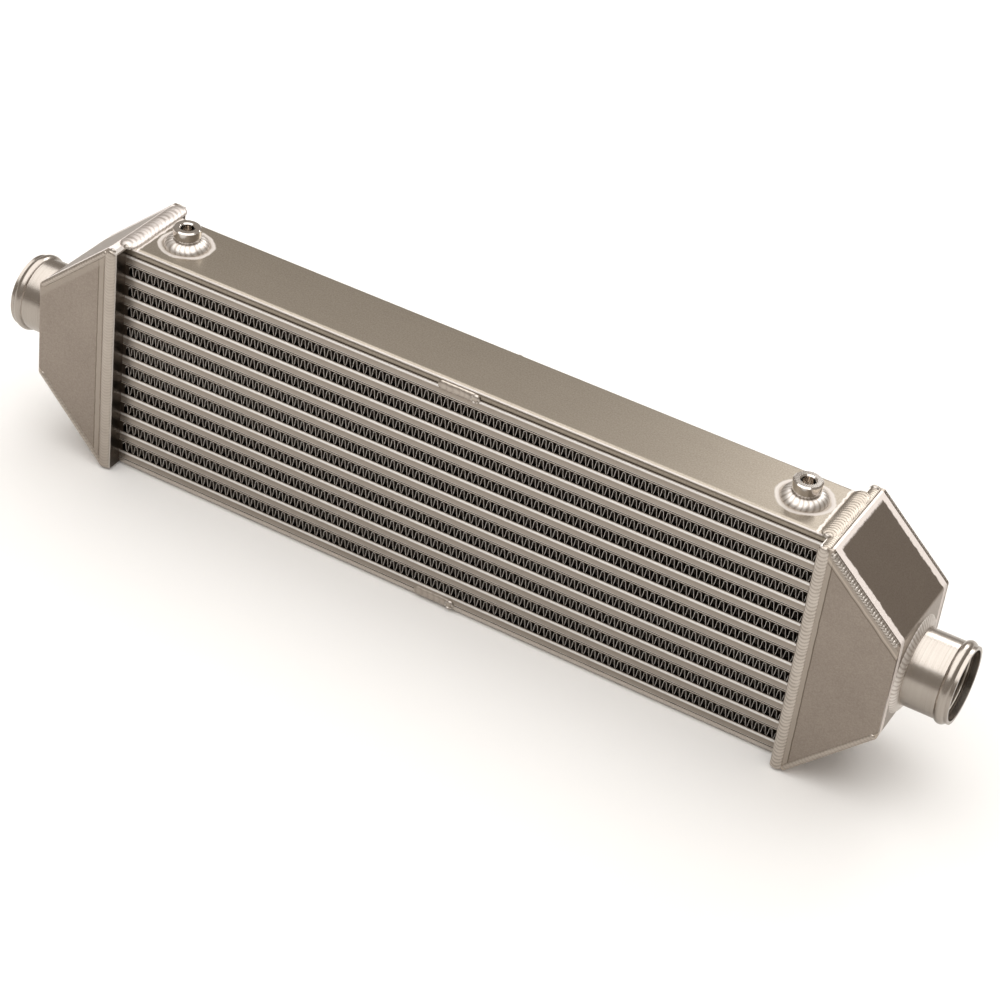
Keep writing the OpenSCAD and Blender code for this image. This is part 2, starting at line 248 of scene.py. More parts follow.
# Heights over the bar's foot: braze and painted highlight at the foot, painted shade at 4 to 4.9 mm,
# painted highlight at 5.6 to 6.8 mm
brazeAndPaintedLightHeights = [(-0.1, "#ffffff", 1), (0.6, "#ffffff", 1), (1.2, "#b6ada3", 0.7), (2.5, "#aea59b", 0.6),
              (4.0, "#9f958b", 0.7), (4.9, "#9f958b", 0.7), (5.6, "#fefcfa", 1), (6.8, "#fefcfa", 1),
              (7.3, "#c6bdb3", 0.8)]
brazeAndPaintedBarLight = dict(steady, kind="rows", wobble=0.3, rough=0.4,
                 stops=[(barLow.z + height, colour, cover) for height, colour, cover in brazeAndPaintedLightHeights])
barStock = makeAluminium("extrudedBarAluminium", barLook, (brazeAndPaintedBarLight,))
# The bars at the rows' ends are painted dark: painted shade of the deep gap between the header frame and
# the core
paintedShadeEndBarStock = makeAluminium("paintedShadeEndBarAluminium", dict(barLook, dark="#4a423a", light="#6a6157"))

# Braze-clad parting sheet, painted dark inside the core as painted shade. Its lip at the core's face
# carries a painted highlight under each bar;
# on top of each bar only the lip's outer edge is painted light, and the rest is painted shade
shadedSheetLook = dict(dark="#3a342e", light="#4f473f", rough=0.45, grainSize=0.8, grain=0.4,
               rolling=(0.2, 0.5, 0.5), streak=0.3, cloudSize=20.0, cloud=0.2, bump=0.004)
paintedLipHighlight = dict(steady, kind="plane", normal=(0, 1, 0), point=(0, coreFace + 0.3, 0), wobble=0.1,
               stops=[(-0.1, "#cfc6bd", 1), (0.4, "#cfc6bd", 1), (0.6, "#cfc6bd", 0)])
upperLipHighlightAndShade = dict(paintedLipHighlight, aboveInRow=(barLow.z + barHigh.z) / 2,
                stops=[(-0.1, "#a89e94", 1), (0.1, "#a89e94", 1), (0.3, "#3a342e", 1)])
cladSheet = makeAluminium("brazeCladSheetAluminium", shadedSheetLook, (paintedLipHighlight, upperLipHighlightAndShade))

# Melted cladding, drawn into a fillet at the feet of the fins: bright and smooth
filletLook = dict(dark="#f6f2ed", light="#fefdfb", rough=0.72, grainSize=0.8, grain=0.5,
                  rolling=(0.2, 0.5, 0.5), streak=0.3, cloudSize=12.0, cloud=0.4, bump=0.004)
brazeFillet = makeAluminium("meltedCladdingAluminium", filletLook)

# Fin foil of 3003 strip, painted dark in its folds as shade of the deep core; its faces at the core's face
# are a lit copy painted near white as highlight
paintedShadeFoilLook = dict(dark="#6a6057", light="#8a7f75", rough=0.6, grainSize=1.5, grain=0.3,
                rolling=(0.1, 0.1, 0.1), streak=0.4, cloudSize=20.0, cloud=0.5, bump=0.002)
paintedShadeFinFoil = makeAluminium("paintedShadeFinFoilAluminium", paintedShadeFoilLook)
paintedHighlightEdgeLook = dict(paintedShadeFoilLook, dark="#efe9e2", light="#fffdfa", rough=0.55, grain=0.6,
                cloudSize=12.0, cloud=0.7)
paintedHighlightFinEdge = makeAluminium("paintedHighlightFinEdgeAluminium", paintedHighlightEdgeLook)

# Tank sheet, rolled and brake-folded 5052: fine speckle, brushed bright beside every weld
sheetLook = dict(dark="#948980", light="#b3a89d", rough=0.34, grainSize=1.0, grain=1.0,
                 rolling=(0.3, 0.3, 0.02), streak=0.15, cloudSize=30.0, cloud=0.35, bump=0.006)
outwardsX = dict(steady, kind="plane", normal=(-1, 0, 0), point=(coreEnd, 0, 0))
mouthBands = {
    "left": dict(outwardsX, stops=[
        (10.2, toeShade, 0), (10.5, toeShade, 0.35), (10.9, toeShade, 0.35), (11.2, lightFrost, 0.6),
        (14.9, lightFrost, 0.6), (15.2, toeShade, 0.6), (15.7, toeShade, 0.6), (16.1, toeShade, 0)]),
    "right": dict(outwardsX, stops=[
        (7.0, lightFrost, 0), (7.3, lightFrost, 0.7), (10.4, lightFrost, 0.7), (10.7, toeShade, 0.8),
        (11.2, toeShade, 0.8), (11.6, toeShade, 0)]),
}
upperSeam = dict(steady, kind="plane", normal=upperNormal, point=(landEnd, 0, coreTop))
upperSeamBands = {
    "left": dict(upperSeam, stops=[
        (3.6, lightFrost, 0), (3.9, lightFrost, 0.5), (8.0, lightFrost, 0.4), (9.4, lightFrost, 0)]),
    "right": dict(upperSeam, stops=[
        (3.6, lightFrost, 0), (3.9, lightFrost, 0.6), (6.0, lightFrost, 0.6), (7.2, "#e1d6c9", 0.7),
        (8.3, lightFrost, 0.4), (8.8, toeShade, 0.6), (9.2, toeShade, 0.6), (9.7, toeShade, 0)]),
}
lowerSeamBand = dict(
    steady, kind="plane", normal=lowerNormal, point=(landEnd, 0, mouthBottom),
    stops=[(0, "#d2c6b8", 0.7), (3.2, "#d2c6b8", 0.7), (3.6, toeShade, 0.2), (4.1, toeShade, 0.2),
           (4.5, toeShade, 0)])
slopeBand = dict(
    ragged, kind="plane", normal=(0, 1, 0), point=(0, tankFace, 0),
    stops=[(1.0, toeShade, 0), (1.3, toeShade, 0.5), (1.7, toeShade, 0.5), (2.0, frost, 1), (8.6, frost, 1),
           (9.6, frost, 0)])
landBand = dict(outwardsX, wobble=1.6, wobbleSize=2.0, rough=0.8)
landBands = {
    "left": dict(landBand, above=coreTop - 4,
                 stops=[(3.0, frost, 0.9), (10.4, frost, 0.9), (12.2, frost, 0)]),
    "right": dict(landBand, above=coreTop - 3, stops=[
        (6.6, toeShade, 0), (6.8, toeShade, 0.7), (7.1, toeShade, 0.7), (7.4, frost, 1), (11.6, frost, 1),
        (12.8, frost, 0)]),
}
stubHalo = dict(steady, kind="ring", centre=(0, 0, stubHeight), across=(0, 1, 1),
                stops=[(35.5, frost, 0.7), (36.2, frost, 0.7), (36.8, frost, 0)])
frontSheets = {
    side: makeAluminium(side + "RolledTankSheetAluminium", sheetLook,
                        (mouthBands[side], upperSeamBands[side], lowerSeamBand)) for side in mouthBands}
foldedSheets = {
    side: makeAluminium(side + "FoldedTankSheetAluminium", sheetLook,
                        (slopeBand, landBands[side], stubHalo)) for side in landBands}

# The header frame's front rim and top edge carry an uneven painted highlight, and its faces are painted
# dark as shade of the corner beside the core
frameRimHighlight = dict(ragged, kind="plane", normal=(0, 1, 0), point=(0, tankFace, 0), wobble=0.8,
                 stops=[(0, "#e9e4de", 0.8), (0.25, "#e9e4de", 0.8), (0.6, "#e9e4de", 0)])
frameTopHighlight = dict(steady, kind="plane", normal=upwards, point=(0, 0, coreTop), wobble=0.4,
                    stops=[(-0.1, "#e2ddd8", 1), (1.2, "#e2ddd8", 1), (1.8, "#e2ddd8", 0)])
shadedFrameLook = dict(sheetLook, dark="#4a433c", light="#5f574f", rough=0.3)
frameSheet = makeAluminium("headerFrameAluminium", shadedFrameLook, (frameRimHighlight, frameTopHighlight))

# Hose stub of drawn 6061 tube, bead-rolled and polished on the lathe: faint turned rings
stubLook = dict(dark="#a79e95", light="#cdc6be", rough=0.25, grainSize=1.0, grain=0.2,
                rolling=(1.6, 0.02, 0.02), streak=0.6, cloudSize=25.0, cloud=0.3, bump=0.002)
drawnTube = makeAluminium("polishedTubeAluminium", stubLook)

# Turned 6061 boss, straight off the lathe: nearly a mirror
bossLook = dict(dark="#d2ccc5", light="#ece7e2", rough=0.12, grainSize=0.8, grain=0.2,
                rolling=(0.05, 0.05, 2.0), streak=0.5, cloudSize=15.0, cloud=0.2, bump=0.001)
turnedBar = makeAluminium("turnedBossAluminium", bossLook)

for start, end, metal in (
        ("top", "_plate", millPlate), ("bottom", "_plate", bottomStock), ("front_bar", "", barStock),
        ("rear_bar", "", barStock), ("", "_end_bars", paintedShadeEndBarStock), ("parting", "_sheets", cladSheet),
        ("air_fin", "", paintedShadeFinFoil), ("charge", "_fins", paintedShadeFinFoil), ("", "_header_frame", frameSheet),
        ("", "_hose_stub", drawnTube), ("", "_boss", turnedBar)):
    dress(start, end, metal)
for side in frontSheets:
    dress(side, "_front_panel", frontSheets[side])
    dress(side, "_rear_panel", frontSheets[side])
    dress(side, "_folded_panel", foldedSheets[side])
print("materials made")


# TIG bead laid with 4043 filler: its ridges are painted lighter as highlight and its valleys darker as
# shade, following the ripples
def makeWeldMaterial(name, look):
    material, tree = startMaterial(name)
    place = findPlace(tree)
    grain = addNode(tree, noiseKind, {"Vector": place, "Scale": 1 / look["grainSize"], "Detail": 2.0})
    patch = addNode(tree, noiseKind, {"Vector": place, "Scale": 1 / look["patchSize"], "Detail": 1.0})
    # The bead's ripple sets the painted highlight on its ridges and the painted shade in its valleys
    ripple = addNode(tree, "ShaderNodeAttribute", attribute_name="beadRipple").outputs["Fac"]
    shade = addNode(tree, mathKind, {0: grain, 1: look["grain"], 2: ripple}, operation="MULTIPLY_ADD")
    shade = addNode(tree, mathKind, {0: patch, 1: look["patch"], 2: shade}, operation="MULTIPLY_ADD")
    middle = (look["grain"] + look["patch"]) / 2
    tone = addNode(tree, "ShaderNodeMapRange", {0: shade, 1: middle, 2: middle + 1.0},
                   interpolation_type="SMOOTHSTEP")
    colour = addNode(tree, "ShaderNodeMix", {0: tone, 6: toLinear(look["valley"]),
                                             7: toLinear(look["ridge"])}, data_type="RGBA").outputs[2]
    finishMetal(tree, colour, look["rough"], grain, look["bump"])
    return material


tigSurface = dict(grainSize=0.9, grain=0.5, bump=0.01)
weldLooks = {
    # Left as it froze: painted highlight on its ridges over greyer valleys of painted shade
    "bright": dict(tigSurface, valley="#a39a91", ridge="#dbd5ce", rough=0.4, patchSize=6.0, patch=0.5),
    # Scrubbed after welding, so pale all over, with blotches where the brush missed
    "washed": dict(tigSurface, valley="#bdb4ab", ridge="#eae5e0", rough=0.42, patchSize=5.0, patch=0.9),
    # Laid slowly, so that an even oxide skin takes the shine off its ridges
    "dull": dict(tigSurface, valley="#b5aba1", ridge="#dcd4cb", rough=0.38, patchSize=7.0, patch=0.6),
    # Run over a second time without filler: pale, in broad soft patches
    "remelted": dict(tigSurface, valley="#c3bab3", ridge="#e2dbd6", rough=0.45, grain=0.4,
                     patchSize=6.0, patch=1.3),
    # Laid with quick dabs of filler: strong painted shade darkens the valley between every two dabs
    "rippled": dict(tigSurface, valley="#8f867b", ridge="#c4baae", rough=0.36, grain=0.4,
                    patchSize=7.0, patch=0.6),
    # Wire-brushed all round: nearly white and almost matt
    "brushed": dict(tigSurface, valley="#d2cac2", ridge="#f6f1ec", rough=0.55, patchSize=5.0, patch=0.7),
    # Melted together with hardly any filler: an even satin
    "smooth": dict(tigSurface, valley="#bbb1a7", ridge="#c9c0b6", rough=0.36, grain=0.4,
                   patchSize=8.0, patch=0.8, bump=0.008),
}
welds = {name: makeWeldMaterial(name + "TigWeldAluminium", look) for name, look in weldLooks.items()}


# Starts a geometry tree with named inputs and one geometry output
def startTree(name, inputs, takesPath=False):
    tree = bpy.data.node_groups.new(name, "GeometryNodeTree")
    if takesPath:
        tree.interface.new_socket(name="path", in_out="INPUT", socket_type="NodeSocketGeometry")
    for label, value in inputs.items():
        kind = {int: "NodeSocketInt", float: "NodeSocketFloat", str: "NodeSocketMaterial"}[type(value)]
        socket = tree.interface.new_socket(name=label, in_out="INPUT", socket_type=kind)
        if kind != "NodeSocketMaterial":
            socket.default_value = value
    tree.interface.new_socket(name="Mesh", in_out="OUTPUT", socket_type="NodeSocketGeometry")
    return tree, addNode(tree, "NodeGroupInput").outputs


# Runs a tree on a start mesh and keeps its result as a plain mesh with outward faces
def growMesh(name, tree, sizes, startMesh=None):
    carrier = bpy.data.objects.new(name, startMesh or bpy.data.meshes.new(name))
    scene.collection.objects.link(carrier)
    modifier = carrier.modifiers.new("grow", "NODES")
    modifier.node_group = tree
    for socket in tree.interface.items_tree:
        if socket.in_out == "INPUT" and socket.name in sizes:
            modifier[socket.identifier] = sizes[socket.name]
    evaluated = carrier.evaluated_get(bpy.context.evaluated_depsgraph_get())
    mesh = bpy.data.meshes.new_from_object(evaluated)
    bpy.data.objects.remove(carrier)
    turned = bmesh.new()
    turned.from_mesh(mesh)
    bmesh.ops.recalc_face_normals(turned, faces=turned.faces)
    turned.to_mesh(mesh)
    turned.free()
    return mesh


# Puts grown meshes, with their materials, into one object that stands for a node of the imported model
def placePiece(name, meshes, replaced):
    metals = []
    for mesh in meshes:
        metals += [material for material in mesh.materials if material and material not in metals]
    joined = bmesh.new()
    for mesh in meshes:
        order = [metals.index(material) if material else 0 for material in mesh.materials]
        indices = [order[face.material_index] for face in mesh.polygons]
        mesh.polygons.foreach_set("material_index", indices)
        joined.from_mesh(mesh)
    result = bpy.data.meshes.new(name)
    joined.to_mesh(result)
    joined.free()
    for material in metals:
        result.materials.append(material)
    piece = bpy.data.objects.new(name, result)
    scene.collection.objects.link(piece)
    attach(piece, "root")
    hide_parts(*replaced)
    return piece


# Air fins: each row is one strip of foil folded into tall loops. It is lanced near both
# faces, and every second strip is shifted by half a fold, so the loops cross.
finSizes = {
    "folds": 105,
    "pointsPerFold": 12,
    "sheet": 0.3,
    "lance": 2.6,
    "arch": 0.24,      # how much wider the upper crowns are than the lower ones
    "upright": 0.6,    # how far the legs stand up from a plain wave
    "drop": 1.2,       # how far the upper crowns stay below the sheet over them
    "sink": 0.6,       # how far the lower crowns are melted into the sheet under them
    "waver": 0.9,
    "waverPerFold": 0.45,
    "filletRadius": 0.5,
    "filletDepth": 0.75,
    "filletOut": 0.3,  # how far its middle stands out of the core's face
    "cutDepth": 0.1,   # what lies closer to the core's face than this counts as cut
    "seed": 4,
}
foldDrifts = (0.07, 0.03, 0.04, -0.13, -0.12, -0.11, 0.08, 0.07, 0.04, 0.02)  # folds crowd to one end


def makeFinTree():
    tree, given = startTree("foldedFinRow", dict(
        finSizes, rowLength=548.0, rowHeight=8.7, rowDepth=61.0, rowMiddle=90.0, drift=0.0,
        foil="", highlightEdge="", fillet=""))
    total = addNode(tree, mathKind, {0: given["folds"], 1: given["pointsPerFold"]}, operation="MULTIPLY")
    count = addNode(tree, mathKind, {0: total, 1: 1.0}, operation="ADD")
    line = addNode(tree, "GeometryNodeCurvePrimitiveLine")
    points = addNode(tree, "GeometryNodeResampleCurve", {"Curve": line, "Count": count}, mode="COUNT")
    index = addNode(tree, "GeometryNodeInputIndex")
    turns = addNode(tree, mathKind, {0: index, 1: given["pointsPerFold"]}, operation="DIVIDE")
    angle = addNode(tree, mathKind, {0: turns, 1: 2 * math.pi}, operation="MULTIPLY")
    # Height of the foil: a sine whose upper half is widened
    first = addNode(tree, mathKind, {0: angle}, operation="SINE")
    doubled = addNode(tree, mathKind, {0: angle, 1: 2.0}, operation="MULTIPLY")
    second = addNode(tree, mathKind, {0: doubled}, operation="COSINE")
    widening = addNode(tree, mathKind, {0: second, 1: 1.0}, operation="ADD")
    wave = addNode(tree, mathKind, {0: widening, 1: given["arch"], 2: first}, operation="MULTIPLY_ADD")
    swing = given["rowHeight"]
    for name, operation in (("sheet", "SUBTRACT"), ("drop", "SUBTRACT"), ("sink", "ADD")):
        swing = addNode(tree, mathKind, {0: swing, 1: given[name]}, operation=operation)
    halfSwing = addNode(tree, mathKind, {0: swing, 1: 0.5}, operation="MULTIPLY")
    sunk = addNode(tree, mathKind, {0: given["drop"], 1: given["sink"]}, operation="ADD")
    sunk = addNode(tree, mathKind, {0: sunk, 1: -0.5}, operation="MULTIPLY")
    height = addNode(tree, mathKind, {0: wave, 1: halfSwing, 2: sunk}, operation="MULTIPLY_ADD")
    # Place along the row: legs stood up, folds drifting and wavering a little
    lag = addNode(tree, mathKind, {0: doubled}, operation="SINE")
    lagShare = addNode(tree, mathKind, {0: given["upright"], 1: -1 / (4 * math.pi)}, operation="MULTIPLY")
    stood = addNode(tree, mathKind, {0: lag, 1: lagShare, 2: turns}, operation="MULTIPLY_ADD")
    share = addNode(tree, mathKind, {0: stood, 1: given["folds"]}, operation="DIVIDE")
    rest = addNode(tree, mathKind, {0: 1.0, 1: share}, operation="SUBTRACT")
    hump = addNode(tree, mathKind, {0: share, 1: rest}, operation="MULTIPLY")
    drifted = addNode(tree, mathKind, {0: hump, 1: given["drift"], 2: share}, operation="MULTIPLY_ADD")
    pitch = addNode(tree, mathKind, {0: given["rowLength"], 1: given["folds"]}, operation="DIVIDE")
    halfPitch = addNode(tree, mathKind, {0: pitch, 1: 0.5}, operation="MULTIPLY")
    span = addNode(tree, mathKind, {0: given["rowLength"], 1: halfPitch}, operation="SUBTRACT")
    centred = addNode(tree, mathKind, {0: drifted, 1: 0.5}, operation="SUBTRACT")
    noisePlace = addNode(tree, "ShaderNodeCombineXYZ", {0: turns, 1: given["seed"]})
    noise = addNode(tree, noiseKind, {"Vector": noisePlace, "Scale": given["waverPerFold"], "Detail": 1.0})
    waver = addNode(tree, mathKind, {0: noise, 1: 0.5}, operation="SUBTRACT")
    # The waver dies out at both ends, so that the row keeps its length
    held = addNode(tree, mathKind, {0: hump, 1: 4.0}, operation="MULTIPLY")
    for factor in (held, given["waver"]):
        waver = addNode(tree, mathKind, {0: waver, 1: factor}, operation="MULTIPLY")
    run = addNode(tree, mathKind, {0: centred, 1: span, 2: waver}, operation="MULTIPLY_ADD")
    place = addNode(tree, "ShaderNodeCombineXYZ", {0: run, 2: height})
    foil = addNode(tree, "GeometryNodeSetPosition", {"Geometry": points, "Position": place})
    # One lance is this thick and one deep, and is stretched to its own depth where it stands
    section = addNode(tree, "GeometryNodeCurvePrimitiveQuadrilateral",
                      {"Width": 1.0, "Height": given["sheet"]})
    strip = addNode(tree, "GeometryNodeCurveToMesh",
                    {"Curve": foil, "Profile Curve": section, "Fill Caps": True})
    five = addNode(tree, "GeometryNodeMeshLine", {"Count": 5, "Offset": (0, 0, 0)})
    step = addNode(tree, mathKind, {0: index, 1: 2.0}, operation="SUBTRACT")
    side = addNode(tree, mathKind, {0: step}, operation="SIGN")
    away = addNode(tree, mathKind, {0: step}, operation="ABSOLUTE")
    inset = addNode(tree, mathKind, {0: 2.5, 1: away}, operation="SUBTRACT")
    insetDepth = addNode(tree, mathKind, {0: inset, 1: given["lance"]}, operation="MULTIPLY")
    halfDepth = addNode(tree, mathKind, {0: given["rowDepth"], 1: 0.5}, operation="MULTIPLY")
    reach = addNode(tree, mathKind, {0: halfDepth, 1: insetDepth}, operation="SUBTRACT")
    lanceY = addNode(tree, mathKind, {0: reach, 1: side}, operation="MULTIPLY")
    odd = addNode(tree, mathKind, {0: index, 1: 2.0}, operation="MODULO")
    phase = addNode(tree, mathKind, {0: odd, 1: 0.5}, operation="SUBTRACT")
    lanceX = addNode(tree, mathKind, {0: phase, 1: halfPitch}, operation="MULTIPLY")
    lancePlace = addNode(tree, "ShaderNodeCombineXYZ", {0: lanceX, 1: lanceY, 2: given["rowMiddle"]})
    stands = addNode(tree, "GeometryNodeSetPosition", {"Geometry": five, "Position": lancePlace})
    # The middle strip takes what depth the four lances leave
    fourLances = addNode(tree, mathKind, {0: given["lance"], 1: 4.0}, operation="MULTIPLY")
    middle = addNode(tree, mathKind, {0: given["rowDepth"], 1: fourLances}, operation="SUBTRACT")
    isMiddle = addNode(tree, mathKind, {0: away, 1: 0.5}, operation="LESS_THAN")
    extra = addNode(tree, mathKind, {0: middle, 1: given["lance"]}, operation="SUBTRACT")
    depth = addNode(tree, mathKind, {0: isMiddle, 1: extra, 2: given["lance"]}, operation="MULTIPLY_ADD")
    stretch = addNode(tree, "ShaderNodeCombineXYZ", {0: 1.0, 1: depth, 2: 1.0})
    lances = addNode(tree, "GeometryNodeInstanceOnPoints",
                     {"Points": stands, "Instance": strip, "Scale": stretch})
    # Braze fillet where the lower crowns meet the parting sheet, fuller under each crown
    foot = addNode(tree, mathKind, {0: given["rowHeight"], 1: 0.5, 2: given["filletDepth"]},
                   operation="MULTIPLY_ADD")
    foot = addNode(tree, mathKind, {0: foot, 1: -1.0}, operation="MULTIPLY")
    floorPlace = addNode(tree, "ShaderNodeCombineXYZ", {0: run, 2: foot})
    filletLine = addNode(tree, "GeometryNodeSetPosition", {"Geometry": points, "Position": floorPlace})
    thick = addNode(tree, "ShaderNodeMapRange", {0: first, 1: -1.0, 2: 0.2, 3: 1.0, 4: 0.5})
    section = addNode(tree, "GeometryNodeCurvePrimitiveCircle",
                      {"Resolution": 5, "Radius": given["filletRadius"]})
    fillet = addNode(tree, "GeometryNodeCurveToMesh",
                     {"Curve": filletLine, "Profile Curve": section, "Scale": thick, "Fill Caps": True})
    fillet = addNode(tree, "GeometryNodeStoreNamedAttribute",
                     {"Geometry": fillet, "Name": "isFillet", "Value": 1.0},
                     data_type="FLOAT", domain="FACE")
    pair = addNode(tree, "GeometryNodeMeshLine", {"Count": 2, "Offset": (0, 0, 0)})
    flip = addNode(tree, mathKind, {0: index, 1: 0.5}, operation="SUBTRACT")
    flip = addNode(tree, mathKind, {0: flip}, operation="SIGN")
    filletReach = addNode(tree, mathKind, {0: halfDepth, 1: given["filletOut"]}, operation="ADD")
    filletY = addNode(tree, mathKind, {0: flip, 1: filletReach}, operation="MULTIPLY")
    filletX = addNode(tree, mathKind, {0: halfPitch, 1: -0.5}, operation="MULTIPLY")
    filletPlace = addNode(tree, "ShaderNodeCombineXYZ", {0: filletX, 1: filletY, 2: given["rowMiddle"]})
    stands = addNode(tree, "GeometryNodeSetPosition", {"Geometry": pair, "Position": filletPlace})
    fillets = addNode(tree, "GeometryNodeInstanceOnPoints", {"Points": stands, "Instance": fillet})
    both = addNode(tree, "GeometryNodeJoinGeometry", {"Geometry": lances})
    tree.links.new(fillets.outputs[0], both.inputs[0])
    metres = addNode(tree, "GeometryNodeTransform", {"Geometry": both, "Scale": (toMetres,) * 3})
    real = addNode(tree, "GeometryNodeRealizeInstances", {"Geometry": metres})
    # A face right at the core's face is a cut edge of the foil, and gets the painted highlight
    facePlace = addNode(tree, "GeometryNodeInputPosition")
    facePlace = addNode(tree, "ShaderNodeSeparateXYZ", {0: facePlace})
    outOfCore = addNode(tree, mathKind, {0: facePlace.outputs["Y"]}, operation="ABSOLUTE")
    outMost = addNode(tree, mathKind, {0: halfDepth, 1: given["cutDepth"]}, operation="SUBTRACT")
    outMost = addNode(tree, mathKind, {0: outMost, 1: toMetres}, operation="MULTIPLY")
    isCut = addNode(tree, mathKind, {0: outOfCore, 1: outMost}, operation="GREATER_THAN")
    mark = addNode(tree, "GeometryNodeInputNamedAttribute", {"Name": "isFillet"}, data_type="FLOAT")
    isFillet = addNode(tree, mathKind, {0: mark, 1: 0.5}, operation="GREATER_THAN")
    done = addNode(tree, "GeometryNodeSetMaterial", {"Geometry": real, "Material": given["foil"]})
    for chosen, metal in ((isCut, "highlightEdge"), (isFillet, "fillet")):
        done = addNode(tree, "GeometryNodeSetMaterial",
                       {"Geometry": done, "Selection": chosen, "Material": given[metal]})
    addNode(tree, "NodeGroupOutput", {"Mesh": done})
    return tree


finTree = makeFinTree()
for row, drift in enumerate(foldDrifts):
    node = f"air_fin_{row + 1:02d}"
    low, high = boxOf(node)
    mesh = growMesh(node, finTree, dict(
        finSizes, rowLength=high.x - low.x, rowHeight=high.z - low.z, rowDepth=high.y - low.y,
        rowMiddle=(low.z + high.z) / 2, drift=drift, seed=finSizes["seed"] + row * 7,
        foil=paintedShadeFinFoil, highlightEdge=paintedHighlightFinEdge, fillet=brazeFillet))
    placePiece(f"lancedFins{row + 1:02d}", [mesh], [node])
print("fins folded:", len(foldDrifts), "rows of", len(mesh.polygons), "faces")


# Weld beads: a low dome swept along a path, with a ripple for every dab of filler
def makeWeldTree():
    tree, given = startTree("rippledBead", {
        "width": 6.5, "height": 1.6, "root": 0.5, "pitch": 2.6, "ripple": 0.3, "lag": 0.5, "step": 0.5,
        "points": 11, "taper": 1.0, "waver": 0.4, "seed": 3, "metal": ""}, True)
    outward = addNode(tree, "GeometryNodeInputNamedAttribute", {"Name": "outward"},
                      data_type="FLOAT_VECTOR")
    curve = addNode(tree, "GeometryNodeMeshToCurve", {"Mesh": given["path"]})
    upright = addNode(tree, "GeometryNodeSetCurveNormal", {"Curve": curve, "Normal": outward}, mode="FREE")
    along = addNode(tree, "GeometryNodeResampleCurve", {"Curve": upright, "Length": given["step"]},
                    mode="LENGTH")
    run = addNode(tree, "GeometryNodeSplineParameter").outputs["Length"]
    whole = addNode(tree, "GeometryNodeSplineLength")
    left = addNode(tree, mathKind, {0: whole, 1: run}, operation="SUBTRACT")
    toEnd = addNode(tree, mathKind, {0: left, 1: run}, operation="MINIMUM")
    spot = addNode(tree, "GeometryNodeInputPosition")
    for name, value, kind in (("beadRun", run, "FLOAT"), ("beadToEnd", toEnd, "FLOAT"),
                              ("beadCentre", spot, "FLOAT_VECTOR")):
        along = addNode(tree, "GeometryNodeStoreNamedAttribute",
                        {"Geometry": along, "Name": name, "Value": value}, data_type=kind, domain="POINT")
    # Half an ellipse over a sunk root, as the bead's section. The section's X is the outward side.
    line = addNode(tree, "GeometryNodeCurvePrimitiveLine")
    arch = addNode(tree, "GeometryNodeResampleCurve", {"Curve": line, "Count": given["points"]},
                   mode="COUNT")
    index = addNode(tree, "GeometryNodeInputIndex")
    last = addNode(tree, mathKind, {0: given["points"], 1: 1.0}, operation="SUBTRACT")
    share = addNode(tree, mathKind, {0: index, 1: last}, operation="DIVIDE")
    turn = addNode(tree, mathKind, {0: share, 1: math.pi}, operation="MULTIPLY")
    across = addNode(tree, mathKind, {0: turn}, operation="COSINE")
    rise = addNode(tree, mathKind, {0: turn}, operation="SINE")
    halfWidth = addNode(tree, mathKind, {0: given["width"], 1: 0.5}, operation="MULTIPLY")
    sideways = addNode(tree, mathKind, {0: across, 1: halfWidth}, operation="MULTIPLY")
    archHeight = addNode(tree, mathKind, {0: given["height"], 1: given["root"]}, operation="ADD")
    up = addNode(tree, mathKind, {0: rise, 1: archHeight}, operation="MULTIPLY")
    up = addNode(tree, mathKind, {0: up, 1: given["root"]}, operation="SUBTRACT")
    sectionPlace = addNode(tree, "ShaderNodeCombineXYZ", {0: up, 1: sideways})
    section = addNode(tree, "GeometryNodeSetPosition", {"Geometry": arch, "Position": sectionPlace})
    section = addNode(tree, "GeometryNodeStoreNamedAttribute",
                      {"Geometry": section, "Name": "beadAcross", "Value": across},
                      data_type="FLOAT", domain="POINT")
    section = addNode(tree, "GeometryNodeSetSplineCyclic", {"Geometry": section, "Cyclic": True})
    bead = addNode(tree, "GeometryNodeCurveToMesh",
                   {"Curve": along, "Profile Curve": section, "Fill Caps": True})
    runNow, endNow, acrossNow, centreNow = [
        addNode(tree, "GeometryNodeInputNamedAttribute", {"Name": name}, data_type=kind)
        for name, kind in (("beadRun", "FLOAT"), ("beadToEnd", "FLOAT"), ("beadAcross", "FLOAT"),
                           ("beadCentre", "FLOAT_VECTOR"))]
    # Ripples: rounded ridges with sharp valleys, bent back at the bead's sides
    noisePlace = addNode(tree, "ShaderNodeCombineXYZ", {0: runNow, 1: given["seed"]})
    noise = addNode(tree, noiseKind, {"Vector": noisePlace, "Scale": 0.12, "Detail": 2.0})  # 8 mm lumps
    cycles = addNode(tree, mathKind, {0: runNow, 1: given["pitch"]}, operation="DIVIDE")
    squared = addNode(tree, mathKind, {0: acrossNow, 1: acrossNow}, operation="MULTIPLY")
    cycles = addNode(tree, mathKind, {0: squared, 1: given["lag"], 2: cycles}, operation="MULTIPLY_ADD")
    cycles = addNode(tree, mathKind, {0: noise, 1: given["waver"], 2: cycles}, operation="MULTIPLY_ADD")
    bend = addNode(tree, mathKind, {0: cycles, 1: math.pi}, operation="MULTIPLY")
    ridge = addNode(tree, mathKind, {0: bend}, operation="SINE")
    ridge = addNode(tree, mathKind, {0: ridge}, operation="ABSOLUTE")
    low = addNode(tree, mathKind, {0: 1.0, 1: squared}, operation="SUBTRACT")
    low = addNode(tree, mathKind, {0: low, 1: 0.0}, operation="MAXIMUM")
